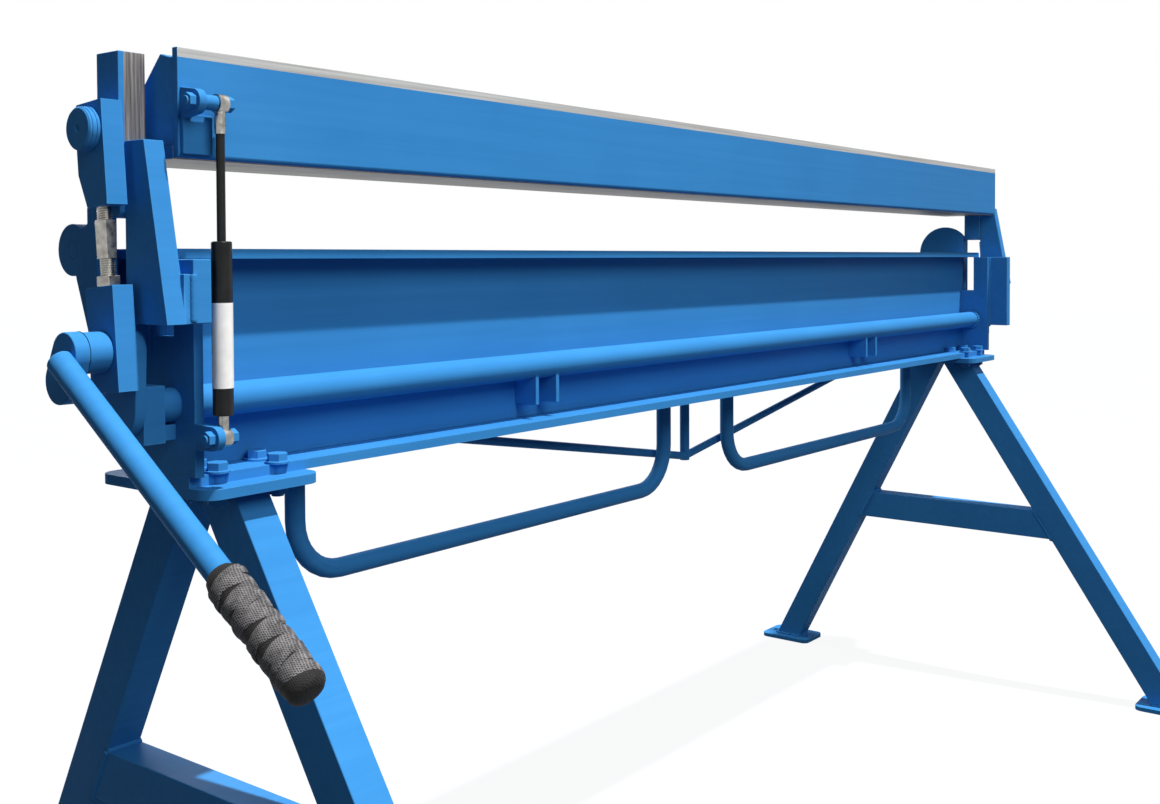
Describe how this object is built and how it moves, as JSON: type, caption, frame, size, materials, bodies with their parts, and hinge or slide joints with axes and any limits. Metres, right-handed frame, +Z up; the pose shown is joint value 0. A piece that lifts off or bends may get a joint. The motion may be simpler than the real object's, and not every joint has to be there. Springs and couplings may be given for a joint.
{
  "type": "roofing sheet metal brake",
  "caption": "Free-standing sheet metal brake on A-frame stands, with a lever-driven clamp beam on cranks and links, a gas spring and a folding apron with bent tube handles.",
  "frame": {"origin": "on the floor, at the middle of the four foot anchor holes", "axes": "+X along the beams away from the lever end, +Y from the sheet feed side to the apron side, +Z up"},
  "size_m": [2.2255, 0.935, 1.0666],
  "materials": {
    "blue_paint": "semi-gloss blue enamel on steel",
    "bare_steel": "ground and zinc plated steel",
    "black_lacquer": "black lacquered gas spring",
    "grip_tape": "wrapped dark cloth tape"
  },
  "bodies": {
    "frame": {"leg_left_rear": "blue_paint", "leg_left_front": "blue_paint", "leg_right_rear": "blue_paint", "leg_right_front": "blue_paint", "crossbar_left": "blue_paint", "crossbar_right": "blue_paint", "top_plate_left": "blue_paint", "top_plate_right": "blue_paint", "foot_plates": "blue_paint", "bed_top_plate": "blue_paint", "bed_web": "blue_paint", "bed_bottom_flange": "blue_paint", "end_plate_left": "blue_paint", "end_plate_right": "blue_paint", "side_bracket_left": "blue_paint", "side_bracket_right": "blue_paint", "upright_left": "blue_paint", "upright_right": "blue_paint", "hinge_arm_left": "blue_paint", "hinge_arm_right": "blue_paint", "hinge_pins": "blue_paint", "tube_supports": "blue_paint", "bearing_block_left": "blue_paint", "bearing_block_right": "blue_paint", "bed_bolts": "blue_paint", "spring_lug_lower": "blue_paint", "spring_stud_lower": "blue_paint", "rod_end_lower": "bare_steel", "gas_cylinder": "black_lacquer"},
    "clamp": {"beam_rear_plate": "blue_paint", "beam_shell": "blue_paint", "clamp_blade": "bare_steel", "beam_end_plates": "blue_paint", "guide_bar_left": "blue_paint", "guide_bar_right": "blue_paint", "spring_bracket_upper": "blue_paint", "spring_stud_upper": "blue_paint", "rod_end_upper": "bare_steel", "gas_rod": "black_lacquer"},
    "crank": {"torsion_tube": "blue_paint", "crank_webs": "blue_paint", "crank_pins": "bare_steel", "lever_hub": "blue_paint", "lever_tube": "blue_paint", "lever_grip": "grip_tape"},
    "link_left": {"upper_link_left": "blue_paint", "turnbuckle_left": "bare_steel", "lower_link_left": "blue_paint", "link_pin_left": "blue_paint"},
    "link_right": {"upper_link_right": "blue_paint", "turnbuckle_right": "bare_steel", "lower_link_right": "blue_paint", "link_pin_right": "blue_paint"},
    "apron": {"apron_plate": "blue_paint", "apron_lip": "bare_steel", "apron_flange": "blue_paint", "apron_eyes": "blue_paint", "angle_disc": "blue_paint", "handles": "blue_paint", "truss": "blue_paint"}
  },
  "joints": [
    {"name": "lever_turn", "type": "hinge", "parent": "frame", "child": "crank", "pos_m": [0, 0.008, 0.7445], "axis": [1, 0, 0], "range_deg": [0, 100]},
    {"name": "clamp_lift", "type": "slide", "parent": "frame", "child": "clamp", "axis": [0, 0, 1], "range_m": [-0.0792, 0], "stiffness_N_per_m": 2000, "springref_m": 0.36},
    {"name": "link_left_swing", "type": "hinge", "parent": "crank", "child": "link_left", "pos_m": [-1.0665, -0.0005, 0.79757], "axis": [1, 0, 0], "range_deg": [-112.69, 0]},
    {"name": "link_right_swing", "type": "hinge", "parent": "crank", "child": "link_right", "pos_m": [1.0665, -0.0005, 0.79757], "axis": [1, 0, 0], "range_deg": [-112.69, 0]},
    {"name": "apron_fold", "type": "hinge", "parent": "frame", "child": "apron", "pos_m": [0, 0.08, 0.887], "axis": [1, 0, 0], "range_deg": [0, 120]}
  ],
  "couplings": [
    {"joint": "clamp_lift", "follows": "lever_turn", "m_per_rad": -0.045342},
    {"joint": "link_left_swing", "follows": "lever_turn", "ratio": -1.1268},
    {"joint": "link_right_swing", "follows": "lever_turn", "ratio": -1.1268}
  ]
}
